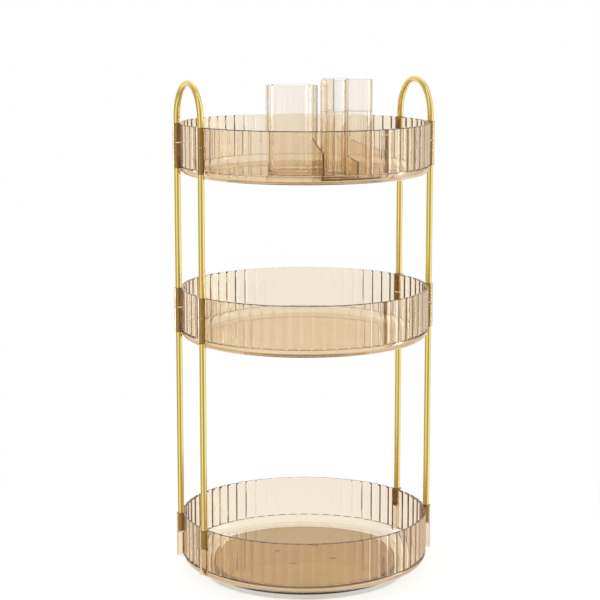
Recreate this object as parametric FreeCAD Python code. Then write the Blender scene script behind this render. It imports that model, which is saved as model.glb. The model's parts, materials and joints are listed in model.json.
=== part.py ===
import FreeCAD, Part
import math
import os

# Three-tier rotating cosmetics organizer.
# Millimetres. +Z is up, the origin is on the surface it stands on, under the
# middle of the trays, and the two carrying hoops stand over the +X and -X sides.

V = FreeCAD.Vector
UP = V(0, 0, 1)

# ---------------------------------------------------------------- driving sizes
# Trays
tray_radius = 115.0          # over the crests of the flutes
tray_height = 47.0           # underside to rim
tray_floor = 2.6
tray_wall = 2.6              # even, between the flutes outside and inside
tray_corner = 7.8            # rounded lower edge, outside
tray_inner_corner = 5.5      # rounded lower edge, inside
band_straight = 0.4          # plain wall between the rounded edge and the flutes
band_ledge = 0.15            # the smooth lower band stands back from the crests
rim_flare = 1.4              # bevel of the rim's inner edge, cut from the ridges
flute_count = 64
flute_depth = 1.0

# Rod sockets on the trays
rod_radius = 3.0
rod_fit = 0.05               # radial clearance of a rod in its socket
socket_wall = 1.1
socket_inset = 1.25          # the socket's inner side, outside the cavity's ridges
socket_rise = 0.3            # above the rim
socket_length = 41.2
stop_depth = 17.4            # rod end below the top of its socket
stop_thickness = 1.2         # web between the two rod ends

# Rods and hoops
lower_rod_length = 212.8
upper_rod_length = 150.2
hoop_radius = 32.0           # centreline of the arch, half the leg spacing
hoop_leg_length = 22.4       # rod end to the start of the arch

# Turntable base
base_radius = 95.6
base_floor = 2.4
base_rim = 2.4
base_edge_round = 1.0
base_tray_gap = 0.9
turntable_thickness = 2.6
turntable_rim_gap = 0.8
foot_count = 6
foot_radius = 7.0
foot_inset = 15.6            # its axis from the edge of the base
foot_proud = 1.0
foot_recess = 1.2
foot_edge_round = 0.4

# Ball bearing
ball_radius = 2.0
ball_count = 24
ball_circle = 60.0
ball_fit = 0.05              # ball to groove
groove_depth = 0.75
race_thickness = 1.4
race_outer_width = 6.0       # outside the ball circle
race_inner_width = 10.0      # inside the ball circle
cage_fit = 0.1               # ball to cage pocket
cage_thickness = 1.3
cage_width = 10.0

# Screws
race_screw_count = 4
race_screw_inset = 7.0       # inside the ball circle
race_screw_radius = 1.0
race_screw_head_radius = 2.0
race_screw_grip = 1.6        # length in the disc behind the race
tray_screw_count = 4
tray_screw_circle = 30.0
tray_screw_radius = 1.25
tray_screw_head_height = 1.4
tray_screw_overlap = 1.0     # of the head on the disc, round the boss's hole
tray_screw_cover = 1.2       # tray floor left above its tip
tray_boss_radius = 3.0
tray_boss_fit = 0.2
tray_boss_recess = 0.1

# Centre pin
pin_radius = 3.0
pin_fit = 0.05
pin_cover = 0.5              # turntable disc left above its tip
pin_head_radius = 5.5
pin_head_height = 1.6
pin_head_inset = 0.6         # above the base's underside
pin_boss_wall = 2.5
pin_boss_gap = 0.5
washer_radius = 7.0
washer_thickness = 0.75
washer_hole_fit = 0.2
washer_rim_fit = 1.0
washer_gap = 0.05

# Divider insert in the top tray
insert_turn_degrees = 1.6    # its middle, from -Y towards +X
insert_plate = 1.5
insert_back = 5.2            # plate behind the cup
fin_thickness = 1.6
fin_wall_gap = 0.5
fin_foot_ease = 1.9          # its lower corner is rounder than the tray's by this
side_fin_outer_drop = 19.4   # top edge below the top of the sockets
side_fin_inner_drop = 9.5
side_fin_dip = 1.0           # of its top edge, below a straight slope
middle_fin_outer_drop = 27.6
middle_fin_inner_drop = 23.6

# Three-lobed cup, standing between the side fins
trefoil_wall_distance = 30.4 # its axis from the tray's inner wall
trefoil_lobe_distance = 14.4
trefoil_lobe_radius = 11.4
trefoil_web_radius = 1.5
trefoil_height = 85.4
trefoil_upper_wall = 1.4
trefoil_lower_wall = 2.2
trefoil_upper_depth = 27.4   # rim to the step inside
trefoil_floor = 2.0
trefoil_fin_gap = 0.4

# Round brush cup, standing behind the insert
brush_cup_radius = 23.75
brush_cup_height = 79.0
brush_cup_wall = 2.0
brush_cup_floor = 2.5
brush_cup_flutes = 18
brush_cup_flute_depth = 0.6
brush_cup_gap = 7.2          # to the insert's back corners
brush_cup_side = 20.4        # its axis to the -X side of the insert's middle

cut_margin = 1.0             # how far a cutting tool passes a face

# ---------------------------------------------------------------- worked-out places
base_bottom = foot_proud
base_floor_top = base_bottom + base_floor
race_gap = 2 * (ball_radius - groove_depth)
ball_level = base_floor_top + race_thickness + race_gap / 2
turntable_bottom = ball_level + race_gap / 2 + race_thickness
bottom_tray_z = turntable_bottom + turntable_thickness
base_top = bottom_tray_z - base_tray_gap
turntable_radius = base_radius - base_rim - turntable_rim_gap
foot_circle = base_radius - foot_inset
race_screw_circle = ball_circle - race_screw_inset
tray_screw_length = turntable_thickness + tray_floor - tray_screw_cover
tray_screw_head_radius = tray_boss_radius + tray_boss_fit + tray_screw_overlap
pin_grip = turntable_thickness - pin_cover
pin_recess_depth = washer_gap + washer_thickness + pin_head_height + pin_head_inset
pin_recess_radius = washer_radius + washer_rim_fit
washer_top = base_bottom + pin_recess_depth - washer_gap
washer_bottom = washer_top - washer_thickness

cavity_radius = tray_radius - flute_depth - tray_wall    # over the ridges inside
flute_bottom = tray_corner + band_straight
bore_radius = rod_radius + rod_fit
socket_radius = bore_radius + socket_wall
socket_top = tray_height + socket_rise            # above a tray's underside
rod_circle = cavity_radius + socket_inset + socket_radius
rod_seat = socket_top - stop_depth                # upper rod ends, above an underside
leg_angle = math.degrees(math.asin(hoop_radius / rod_circle))
rod_angles = [leg_angle, 180 - leg_angle, 180 + leg_angle, 360 - leg_angle]
middle_tray_z = bottom_tray_z + lower_rod_length + stop_thickness
top_tray_z = middle_tray_z + upper_rod_length + stop_thickness

top_floor_z = top_tray_z + tray_floor
insert_floor_z = top_floor_z + insert_plate
insert_angle = -90 + insert_turn_degrees
trefoil_position = cavity_radius - trefoil_wall_distance
insert_inner_radius = trefoil_position - trefoil_lobe_distance - trefoil_lobe_radius - insert_back

# The side fins pass the front lobes of the cup at trefoil_fin_gap.
lobe_across = trefoil_lobe_distance * math.sin(math.radians(60))
lobe_along = trefoil_position + trefoil_lobe_distance * math.cos(math.radians(60))
fin_to_lobe = trefoil_lobe_radius + trefoil_fin_gap + fin_thickness / 2
fin_angle = math.degrees(math.atan2(lobe_across, lobe_along)
                         + math.asin(fin_to_lobe / math.hypot(lobe_across, lobe_along)))
brush_cup_along = (insert_inner_radius * math.cos(math.radians(fin_angle))
                   - brush_cup_radius - brush_cup_gap)


# ---------------------------------------------------------------- small helpers
def polar(radius, degrees, z=0.0):
    angle = math.radians(degrees)
    return V(radius * math.cos(angle), radius * math.sin(angle), z)


def cylinder(radius, bottom, top, centre=V(0, 0, 0)):
    return Part.makeCylinder(radius, top - bottom, V(centre.x, centre.y, bottom), UP)


def ring(inner, outer, bottom, top):
    return cylinder(outer, bottom, top).cut(cylinder(inner, bottom, top))


def around(shape, count, start=0.0):
    """Copies of a shape, evenly spaced about the Z axis."""
    copies = []
    for index in range(count):
        copy = shape.copy()
        copy.rotate(V(0, 0, 0), UP, start + index * 360.0 / count)
        copies.append(copy)
    return copies


def turned(edges):
    """The solid that a closed profile in the XZ plane sweeps about the Z axis."""
    face = Part.Face(Part.Wire(edges))
    return face.revolve(V(0, 0, 0), UP, 360)


def line(start, end):
    return Part.LineSegment(start, end).toShape()


def arc(start, middle, end):
    return Part.Arc(start, middle, end).toShape()


def corner_arc(centre, radius, start_degrees, end_degrees):
    """An arc in the XZ plane, about centre, from one angle to another."""
    points = []
    for degrees in (start_degrees, (start_degrees + end_degrees) / 2, end_degrees):
        angle = math.radians(degrees)
        points.append(centre + V(radius * math.cos(angle), 0, radius * math.sin(angle)))
    return arc(*points)


def prism(outline, bottom, top):
    outline.translate(V(0, 0, bottom))
    return Part.Face(outline).extrude(V(0, 0, top - bottom))


def fluted_outline(radius, depth, count):
    """Outward-bulging flutes: radius over the crests, and depth down to the cusps."""
    half_pitch = 180.0 / count
    edges = []
    for index in range(count):
        crest = index * 2 * half_pitch
        edges.append(arc(polar(radius - depth, crest - half_pitch), polar(radius, crest),
                         polar(radius - depth, crest + half_pitch)))
    return Part.Wire(edges)


# ---------------------------------------------------------------- trays
def tray_body():
    """One fluted tray with its underside at z = 0 and its four rod sockets."""
    band = tray_radius - band_ledge
    outside = turned([
        line(V(0, 0, 0), V(band - tray_corner, 0, 0)),
        corner_arc(V(band - tray_corner, 0, tray_corner), tray_corner, -90, 0),
        line(V(band, 0, tray_corner), V(band, 0, flute_bottom)),
        line(V(band, 0, flute_bottom), V(0, 0, flute_bottom)),
        line(V(0, 0, flute_bottom), V(0, 0, 0)),
    ])
    flutes = prism(fluted_outline(tray_radius, flute_depth, flute_count), flute_bottom, tray_height)
    body = outside.fuse(flutes)
    for angle in rod_angles:
        centre = polar(rod_circle, angle)
        body = body.fuse(cylinder(socket_radius, socket_top - socket_length, socket_top, centre))

    above = socket_top + cut_margin
    inner = cavity_radius
    cavity = turned([
        line(V(0, 0, tray_floor), V(inner - tray_inner_corner, 0, tray_floor)),
        corner_arc(V(inner - tray_inner_corner, 0, tray_floor + tray_inner_corner),
                   tray_inner_corner, -90, 0),
        line(V(inner, 0, tray_floor + tray_inner_corner), V(inner, 0, tray_height - rim_flare)),
        line(V(inner, 0, tray_height - rim_flare), V(inner + rim_flare, 0, tray_height)),
        line(V(inner + rim_flare, 0, tray_height), V(inner, 0, tray_height)),
        line(V(inner, 0, tray_height), V(inner, 0, above)),
        line(V(inner, 0, above), V(0, 0, above)),
        line(V(0, 0, above), V(0, 0, tray_floor)),
    ])
    inside_flutes = fluted_outline(tray_radius - tray_wall, flute_depth, flute_count)
    body = body.cut(cavity).cut(prism(inside_flutes, flute_bottom, tray_height))
    for angle in rod_angles:
        centre = polar(rod_circle, angle)
        body = body.cut(cylinder(bore_radius, rod_seat, above, centre))
        body = body.cut(cylinder(bore_radius, 0, rod_seat - stop_thickness, centre))
    return body.removeSplitter()


def placed(shape, z):
    copy = shape.copy()
    copy.translate(V(0, 0, z))
    return copy


def tray_screws():
    """Screws that hold the bottom tray on the turntable disc, heads below it."""
    at = polar(tray_screw_circle, 45)
    head = cylinder(tray_screw_head_radius, turntable_bottom - tray_screw_head_height,
                    turntable_bottom, at)
    shank = cylinder(tray_screw_radius, turntable_bottom, turntable_bottom + tray_screw_length, at)
    return around(head.fuse(shank), tray_screw_count)


def bottom_tray(plain):
    """The same moulding, with bosses under its floor for the turntable screws."""
    tray = placed(plain, bottom_tray_z)
    boss = cylinder(tray_boss_radius, turntable_bottom + tray_boss_recess,
                    bottom_tray_z, polar(tray_screw_circle, 45))
    tray = tray.fuse(around(boss, tray_screw_count))
    return tray.cut(tray_screws()).removeSplitter()


# ---------------------------------------------------------------- rods and hoops
def rod(angle, bottom, length):
    return cylinder(rod_radius, bottom, bottom + length, polar(rod_circle, angle))


def hoop(side):
    """A carrying hoop over the tray's edge: side is 1 at +X and -1 at -X."""
    x = side * math.sqrt(rod_circle ** 2 - hoop_radius ** 2)
    foot = top_tray_z + rod_seat
    spring = foot + hoop_leg_length
    legs = [cylinder(rod_radius, foot, spring, V(x, y, 0)) for y in (-hoop_radius, hoop_radius)]
    section = Part.Face(Part.Wire(Part.makeCircle(rod_radius, V(x, hoop_radius, spring), UP)))
    arch = section.revolve(V(x, 0, spring), V(1, 0, 0), 180)
    return arch.fuse(legs).removeSplitter()


# ---------------------------------------------------------------- turntable base
def race_screws(upper):
    """Countersunk screws, heads flush with the face of their race."""
    face = turntable_bottom - race_thickness if upper else base_floor_top + race_thickness
    way = 1 if upper else -1
    cone = race_screw_head_radius - race_screw_radius
    at = polar(race_screw_circle, 45, face)
    head = Part.makeCone(race_screw_head_radius, race_screw_radius, cone, at, V(0, 0, way))
    shank = Part.makeCylinder(race_screw_radius, race_thickness + race_screw_grip, at, V(0, 0, way))
    return around(head.fuse(shank), race_screw_count)


def ball_groove():
    return Part.makeTorus(ball_circle, ball_radius + ball_fit, V(0, 0, ball_level), UP)


def race(upper):
    bottom = turntable_bottom - race_thickness if upper else base_floor_top
    blank = ring(ball_circle - race_inner_width, ball_circle + race_outer_width,
                 bottom, bottom + race_thickness)
    return blank.cut(ball_groove()).cut(race_screws(upper))


def bearing_balls():
    ball = Part.makeSphere(ball_radius, polar(ball_circle, 0, ball_level))
    return around(ball, ball_count)


def ball_cage():
    bottom = ball_level - cage_thickness / 2
    top = bottom + cage_thickness
    cage = ring(ball_circle - cage_width / 2, ball_circle + cage_width / 2, bottom, top)
    pocket = cylinder(ball_radius + cage_fit, bottom, top, polar(ball_circle, 0))
    return cage.cut(around(pocket, ball_count))


def rubber_feet():
    foot = cylinder(foot_radius, 0, foot_proud + foot_recess, V(foot_circle, 0, 0))
    lowest = [edge for edge in foot.Edges if edge.BoundBox.ZMax < foot_edge_round]
    return around(foot.makeFillet(foot_edge_round, lowest), foot_count)


def base_disc():
    """A shallow dish: floor, rim, and a boss that the centre pin turns in."""
    inner = base_radius - base_rim
    edge = base_edge_round
    dish = turned([
        line(V(0, 0, base_bottom), V(base_radius - edge, 0, base_bottom)),
        corner_arc(V(base_radius - edge, 0, base_bottom + edge), edge, -90, 0),
        line(V(base_radius, 0, base_bottom + edge), V(base_radius, 0, base_top - edge)),
        corner_arc(V(base_radius - edge, 0, base_top - edge), edge, 0, 90),
        line(V(base_radius - edge, 0, base_top), V(inner, 0, base_top)),
        line(V(inner, 0, base_top), V(inner, 0, base_floor_top)),
        line(V(inner, 0, base_floor_top), V(0, 0, base_floor_top)),
        line(V(0, 0, base_floor_top), V(0, 0, base_bottom)),
    ])
    boss_radius = pin_recess_radius + pin_boss_wall
    dish = dish.fuse(cylinder(boss_radius, base_floor_top, turntable_bottom - pin_boss_gap))
    dish = dish.cut(cylinder(pin_radius + pin_fit, base_bottom, turntable_bottom))
    dish = dish.cut(cylinder(pin_recess_radius, base_bottom, base_bottom + pin_recess_depth))
    recess = cylinder(foot_radius, base_bottom, base_bottom + foot_recess, V(foot_circle, 0, 0))
    dish = dish.cut(around(recess, foot_count))
    return dish.cut(race_screws(upper=False))


def turntable_disc():
    disc = cylinder(turntable_radius, turntable_bottom, bottom_tray_z)
    disc = disc.cut(cylinder(pin_radius, turntable_bottom, turntable_bottom + pin_grip))
    hole = cylinder(tray_boss_radius + tray_boss_fit, turntable_bottom, bottom_tray_z,
                    polar(tray_screw_circle, 45))
    disc = disc.cut(around(hole, tray_screw_count))
    return disc.cut(race_screws(upper=True))


def pin_washer():
    return ring(pin_radius + washer_hole_fit, washer_radius, washer_bottom, washer_top)


def centre_pin():
    head = cylinder(pin_head_radius, washer_bottom - pin_head_height, washer_bottom)
    shank = cylinder(pin_radius, washer_bottom, turntable_bottom + pin_grip)
    return head.fuse(shank).removeSplitter()


# ---------------------------------------------------------------- top tray's fittings
def fin(inner_radius, outer_drop, inner_drop, dip, angle):
    """An upright radial panel: the drops are its top edge's depths below the socket tops."""
    top = top_tray_z + socket_top
    reach = cavity_radius - fin_wall_gap
    foot_round = tray_inner_corner + fin_foot_ease
    foot = reach - foot_round
    bottom = top_floor_z
    outer_end = V(reach, 0, top - outer_drop)
    inner_end = V(inner_radius, 0, top - inner_drop)
    crest = Part.BezierCurve()
    crest.setPoles([outer_end, (outer_end + inner_end) / 2 - V(0, 0, 2 * dip), inner_end])
    edges = [
        line(V(inner_radius, 0, bottom), V(foot, 0, bottom)),
        corner_arc(V(foot, 0, bottom + foot_round), foot_round, -90, 0),
        line(V(reach, 0, bottom + foot_round), outer_end),
        crest.toShape(),
        line(inner_end, V(inner_radius, 0, bottom)),
    ]
    panel = Part.Face(Part.Wire(edges)).extrude(V(0, fin_thickness, 0))
    panel.translate(V(0, -fin_thickness / 2, 0))
    panel.rotate(V(0, 0, 0), UP, angle)
    return panel


def divider_insert():
    """A sector plate on the tray's floor, carrying three radial fins."""
    outer = cavity_radius - fin_wall_gap - tray_inner_corner - fin_foot_ease
    inner = insert_inner_radius
    middle = insert_angle
    low = middle - fin_angle
    high = middle + fin_angle
    plate = Part.Wire([
        arc(polar(outer, low), polar(outer, middle), polar(outer, high)),
        line(polar(outer, high), polar(inner, high)),
        arc(polar(inner, high), polar(inner, middle), polar(inner, low)),
        line(polar(inner, low), polar(outer, low)),
    ])
    solid = prism(plate, top_floor_z, insert_floor_z)
    fins = [fin(inner, side_fin_outer_drop, side_fin_inner_drop, side_fin_dip, angle)
            for angle in (low, high)]
    web = trefoil_position + trefoil_web_distance() - trefoil_web_radius
    fins.append(fin(web + trefoil_fin_gap, middle_fin_outer_drop, middle_fin_inner_drop, 0, middle))
    return solid.fuse(fins).removeSplitter()


def trefoil_web_distance():
    """Centre of the hollow between two lobes, from the axis of the cup."""
    along = trefoil_lobe_distance * math.cos(math.radians(60))
    return along + math.sqrt((trefoil_lobe_radius + trefoil_web_radius) ** 2 - lobe_across ** 2)


def trefoil_outline(inset):
    """Three round lobes joined by small hollows, moved in by inset."""
    lobe = trefoil_lobe_radius - inset
    hollow = trefoil_web_radius + inset
    edges = []
    for index in range(3):
        lobe_angle = 180 + index * 120
        centre = polar(trefoil_lobe_distance, lobe_angle)
        before = polar(trefoil_web_distance(), lobe_angle - 60)
        after = polar(trefoil_web_distance(), lobe_angle + 60)
        following = polar(trefoil_lobe_distance, lobe_angle + 120)
        start = centre + (before - centre).normalize() * lobe
        end = centre + (after - centre).normalize() * lobe
        edges.append(arc(start, centre + polar(lobe, lobe_angle), end))
        edges.append(arc(end, after - polar(hollow, lobe_angle + 60),
                         following + (after - following).normalize() * lobe))
    return Part.Wire(edges)


def trefoil_cup():
    """The cup's wall is thicker below a step inside it."""
    step = trefoil_height - trefoil_upper_depth
    cup = prism(trefoil_outline(0), 0, trefoil_height)
    cup = cup.cut(prism(trefoil_outline(trefoil_lower_wall), trefoil_floor, step))
    cup = cup.cut(prism(trefoil_outline(trefoil_upper_wall), step, trefoil_height))
    cup.translate(V(trefoil_position, 0, insert_floor_z))
    cup.rotate(V(0, 0, 0), UP, insert_angle)
    return cup


def brush_cup():
    outline = fluted_outline(brush_cup_radius, brush_cup_flute_depth, brush_cup_flutes)
    cup = prism(outline, 0, brush_cup_height)
    cup = cup.cut(cylinder(brush_cup_radius - brush_cup_wall, brush_cup_floor, brush_cup_height))
    cup.translate(V(brush_cup_along, -brush_cup_side, top_floor_z))
    cup.rotate(V(0, 0, 0), UP, insert_angle)
    return cup


# ---------------------------------------------------------------- the whole part
def parts():
    tray = tray_body()
    nodes = {
        "rubber_feet": rubber_feet(),
        "base_disc": base_disc(),
        "lower_race": race(upper=False),
        "lower_race_screws": race_screws(upper=False),
        "bearing_balls": bearing_balls(),
        "ball_cage": ball_cage(),
        "upper_race": race(upper=True),
        "upper_race_screws": race_screws(upper=True),
        "turntable_disc": turntable_disc(),
        "centre_pin": centre_pin(),
        "pin_washer": pin_washer(),
        "tray_screws": tray_screws(),
        "bottom_tray": bottom_tray(tray),
        "middle_tray": placed(tray, middle_tray_z),
        "top_tray": placed(tray, top_tray_z),
        "right_hoop": hoop(1),
        "left_hoop": hoop(-1),
        "divider_insert": divider_insert(),
        "trefoil_cup": trefoil_cup(),
        "brush_cup": brush_cup(),
    }
    for index, angle in enumerate(rod_angles, start=1):
        nodes[f"lower_rod_{index}"] = rod(angle, bottom_tray_z + rod_seat, lower_rod_length)
        nodes[f"upper_rod_{index}"] = rod(angle, middle_tray_z + rod_seat, upper_rod_length)
    return nodes


os.makedirs("parts", exist_ok=True)
for name, shape in parts().items():
    if isinstance(shape, list):
        shape = Part.makeCompound(shape)
    shape.exportStep(f"parts/{name}.step")
    box = shape.BoundBox
    print(f"{name:20s} solids {len(shape.Solids):2d} valid {shape.isValid()} volume {shape.Volume:10.1f}"
          f"  z {box.ZMin:7.2f} to {box.ZMax:7.2f}")
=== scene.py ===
import json
import math

import bmesh
import bpy
from mathutils import Matrix, Vector

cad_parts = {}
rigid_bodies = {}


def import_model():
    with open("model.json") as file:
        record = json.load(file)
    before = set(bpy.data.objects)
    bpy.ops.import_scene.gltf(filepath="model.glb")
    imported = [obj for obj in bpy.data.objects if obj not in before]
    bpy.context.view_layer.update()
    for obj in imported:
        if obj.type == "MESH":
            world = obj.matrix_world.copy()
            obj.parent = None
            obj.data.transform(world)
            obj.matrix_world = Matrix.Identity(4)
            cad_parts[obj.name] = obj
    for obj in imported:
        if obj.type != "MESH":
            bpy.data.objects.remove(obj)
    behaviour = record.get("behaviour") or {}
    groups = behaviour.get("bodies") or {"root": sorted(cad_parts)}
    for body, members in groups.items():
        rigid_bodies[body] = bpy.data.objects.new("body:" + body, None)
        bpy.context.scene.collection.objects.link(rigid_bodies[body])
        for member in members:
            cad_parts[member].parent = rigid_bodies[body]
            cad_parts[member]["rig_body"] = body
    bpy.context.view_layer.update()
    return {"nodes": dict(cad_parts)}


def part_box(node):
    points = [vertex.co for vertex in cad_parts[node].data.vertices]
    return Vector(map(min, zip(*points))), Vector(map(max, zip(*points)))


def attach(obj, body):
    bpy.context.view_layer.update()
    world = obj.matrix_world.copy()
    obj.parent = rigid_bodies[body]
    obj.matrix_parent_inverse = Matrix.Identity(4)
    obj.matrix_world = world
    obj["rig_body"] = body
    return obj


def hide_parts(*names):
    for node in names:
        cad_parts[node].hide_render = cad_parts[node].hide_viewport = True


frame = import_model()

# Three-tier rotating cosmetics organizer. Shapes are made in millimetres, in the CAD's frame, and
# scaled to metres as they become objects. The camera, the lamps and the floor are placed in metres.
MM = 0.001
NODES = frame["nodes"]
X_AXIS = Vector((1, 0, 0))
UP = Vector((0, 0, 1))


def low(node, axis=2):
    """The lowest coordinate of a CAD node along an axis, in millimetres."""
    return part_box(node)[0][axis] / MM


def high(node, axis=2):
    """The highest coordinate of a CAD node along an axis, in millimetres."""
    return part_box(node)[1][axis] / MM


# ------------------------------------------------------------------ shader nodes
# Most values of a noise lie between these.
NOISE_START = 0.3
NOISE_END = 0.7


def new_tree(owner):
    """The emptied node tree of a material or of the world."""
    owner.use_nodes = True
    owner.node_tree.nodes.clear()
    return owner.node_tree


def feed(tree, socket, value):
    """Links an output to a socket, or sets the socket where the value is a number or a colour."""
    if isinstance(value, bpy.types.NodeSocket):
        tree.links.new(value, socket)
    else:
        socket.default_value = value


def add(tree, kind, **inputs):
    """A new node with the named inputs fed; an underscore stands for a space in an input's name."""
    made = tree.nodes.new("ShaderNode" + kind)
    for name, value in inputs.items():
        feed(tree, made.inputs[name.replace("_", " ")], value)
    return made


def calculated(tree, kind, operation, *values):
    """A Math or VectorMath node, its inputs fed in their order."""
    made = tree.nodes.new("ShaderNode" + kind)
    made.operation = operation
    for socket, value in zip(made.inputs, values):
        feed(tree, socket, value)
    return made


def math_node(tree, operation, *values):
    return calculated(tree, "Math", operation, *values).outputs[0]


def between(tree, value, lowest, highest, start=NOISE_START, end=NOISE_END):
    """A number that goes from lowest to highest as the value goes from start to end."""
    return add(tree, "MapRange", Value=value, From_Min=start, From_Max=end,
               To_Min=lowest, To_Max=highest).outputs[0]


def color_ramp(tree, value, stops, interpolation="LINEAR"):
    """A colour that follows the value through stops, each a position and a colour."""
    made = tree.nodes.new("ShaderNodeValToRGB")
    made.color_ramp.interpolation = interpolation
    elements = made.color_ramp.elements
    while len(elements) < len(stops):
        elements.new(0.5)
    for element, (position, color) in zip(elements, stops):
        element.position = position
        element.color = (*color, 1)
    tree.links.new(value, made.inputs[0])
    return made.outputs[0]


def mixed_shader(tree, factor, first, second):
    """The first shader where the factor is 0, the second where it is 1."""
    made = tree.nodes.new("ShaderNodeMixShader")
    for socket, value in zip(made.inputs, (factor, first, second)):
        tree.links.new(value, socket)
    return made.outputs[0]


# ------------------------------------------------------------------ camera and lamps
HEADING = math.radians(22.66)       # the way the camera looks, from +Y towards +X
PITCH = math.radians(9.588)         # and below the level
ACROSS = Vector((math.cos(HEADING), -math.sin(HEADING), 0))        # to the camera's right
TOWARDS = Vector((-math.sin(HEADING), -math.cos(HEADING), 0))      # to the camera
CAMERA_PLACE = (-0.6569, -1.5625, 0.5448)
CAMERA_LENS = 111.0
CAMERA_SENSOR = 36.0
LAMP_AIM = Vector((0, 0, 0.22))     # about the middle of the part


def camera():
    data = bpy.data.cameras.new("camera")
    data.sensor_width = CAMERA_SENSOR
    data.lens = CAMERA_LENS
    data.clip_start = 0.05
    data.clip_end = 60
    cam = bpy.data.objects.new("camera", data)
    cam.location = CAMERA_PLACE
    level = math.cos(PITCH)
    looks = Vector((math.sin(HEADING) * level, math.cos(HEADING) * level, -math.sin(PITCH)))
    cam.rotation_euler = looks.to_track_quat("-Z", "Y").to_euler()
    bpy.context.scene.collection.objects.link(cam)
    bpy.context.scene.camera = cam


def softbox(name, right, forward, height, size, power, lit=None):
    """A rectangular lamp, placed by how far it is to the camera's right and towards the camera.

    It lights all pieces and isn't mirrored, or lights only those in lit and is mirrored there.
    """
    data = bpy.data.lights.new(name, "AREA")
    data.shape = "RECTANGLE"
    data.size, data.size_y = size
    data.energy = power
    lamp = bpy.data.objects.new(name, data)
    lamp.location = ACROSS * right + TOWARDS * forward + Vector((0, 0, height))
    lamp.rotation_euler = (LAMP_AIM - lamp.location).to_track_quat("-Z", "Y").to_euler()
    bpy.context.scene.collection.objects.link(lamp)
    if lit is None:
        lamp.visible_glossy = False
        lamp.visible_transmission = False
    else:
        lamp.light_linking.receiver_collection = lit


# ------------------------------------------------------------------ world
# What light finds in the room after one, two, three and four bounces inside the plastic.
BOUNCED_SHADES = ((1.0, 0.90, 0.74), (0.57, 0.38, 0.19), (0.33, 0.18, 0.065), (0.25, 0.12, 0.035))

# A bounce counts in full for a direction whose Z is under LEVEL_Z, and for STEEP_SHARE over STEEP_Z.
LEVEL_Z = 0.25
STEEP_Z = 0.55
STEEP_SHARE = 0.2
MOST_DARKENING = 0.6                # of the white by a dim panel, for bounced light

# Upright panels that the pieces mirror: position over one turn about the part, and level.
PANEL_STOPS = ((0.0, 1.0), (0.10, 0.85), (0.20, 0.50), (0.30, 0.45), (0.38, 0.95), (0.43, 0.92),
               (0.50, 0.42), (0.59, 0.42), (0.68, 1.0), (0.76, 1.0), (0.86, 0.62), (1.0, 1.0))
PANEL_POWERS = (1, 1.2, 1.7)        # of the level, for red, green and blue: dim panels are warmer
PANEL_STRENGTH = 1.15
THROUGH_PLASTIC = (0.85, 0.62, 0.38, 1)     # tint of a panel that is mirrored behind the plastic
ROOM_STRENGTH = 0.5                 # of the white that lights the pieces evenly


def surround(tree, bounces, kept=(1, 1, 1)):
    """White seen straight, and a warmer and darker room for light that bounced inside the plastic.

    kept is the share of the room's red, green and blue that is left.
    """
    shades = [(1, 1, 1)]
    for shade in BOUNCED_SHADES:
        shades.append([part * share for part, share in zip(shade, kept)])
    most = len(shades) - 1
    stops = [(count / most, shade) for count, shade in enumerate(shades)]
    return color_ramp(tree, math_node(tree, "DIVIDE", bounces, most), stops)


def side_panels(tree, direction):
    """The panels' colour in a direction, by its turn about the upright axis."""
    parts = [calculated(tree, "VectorMath", "DOT_PRODUCT", direction, axis).outputs["Value"]
             for axis in (ACROSS, TOWARDS)]
    turn = math_node(tree, "ARCTAN2", *parts)
    share = math_node(tree, "MULTIPLY_ADD", turn, 0.5 / math.pi, 0.5)
    stops = [(position, [level ** power for power in PANEL_POWERS]) for position, level in PANEL_STOPS]
    return color_ramp(tree, share, stops, "EASE")


def mirrored_room(tree, path, panels):
    """The panels, tinted where they are mirrored behind the plastic."""
    through = math_node(tree, "MINIMUM", path.outputs["Transmission Depth"], 1)
    tinted = add(tree, "MixRGB", Fac=through, Color1=panels, Color2=THROUGH_PLASTIC)
    tinted.blend_type = "MULTIPLY"
    return add(tree, "Background", Color=tinted.outputs[0], Strength=PANEL_STRENGTH).outputs[0]


def seen_room(tree, path, panels, upright):
    """White for what is seen directly or straight through the plastic, darker after bounces in it."""
    share = between(tree, math_node(tree, "ABSOLUTE", upright), 1.0, STEEP_SHARE, LEVEL_Z, STEEP_Z)
    bounces = math_node(tree, "MULTIPLY", path.outputs["Glossy Depth"], share)
    darkening = math_node(tree, "MULTIPLY", math_node(tree, "MINIMUM", bounces, MOST_DARKENING),
                          math_node(tree, "SUBTRACT", 1, panels))
    strength = math_node(tree, "SUBTRACT", 1, darkening)
    return add(tree, "Background", Color=surround(tree, bounces), Strength=strength).outputs[0]


def world():
    made = bpy.data.worlds.new("studio")
    bpy.context.scene.world = made
    tree = new_tree(made)
    path = tree.nodes.new("ShaderNodeLightPath")
    direction = tree.nodes.new("ShaderNodeTexCoord").outputs["Generated"]
    upright = add(tree, "SeparateXYZ", Vector=direction).outputs["Z"]
    panels = side_panels(tree, direction)
    even = add(tree, "Background", Color=(1, 1, 1, 1), Strength=ROOM_STRENGTH).outputs[0]
    seen = math_node(tree, "MAXIMUM", path.outputs["Is Camera Ray"], path.outputs["Is Transmission Ray"])
    unseen = mixed_shader(tree, path.outputs["Is Glossy Ray"], even, mirrored_room(tree, path, panels))
    add(tree, "OutputWorld", Surface=mixed_shader(tree, seen, unseen, seen_room(tree, path, panels, upright)))


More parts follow.
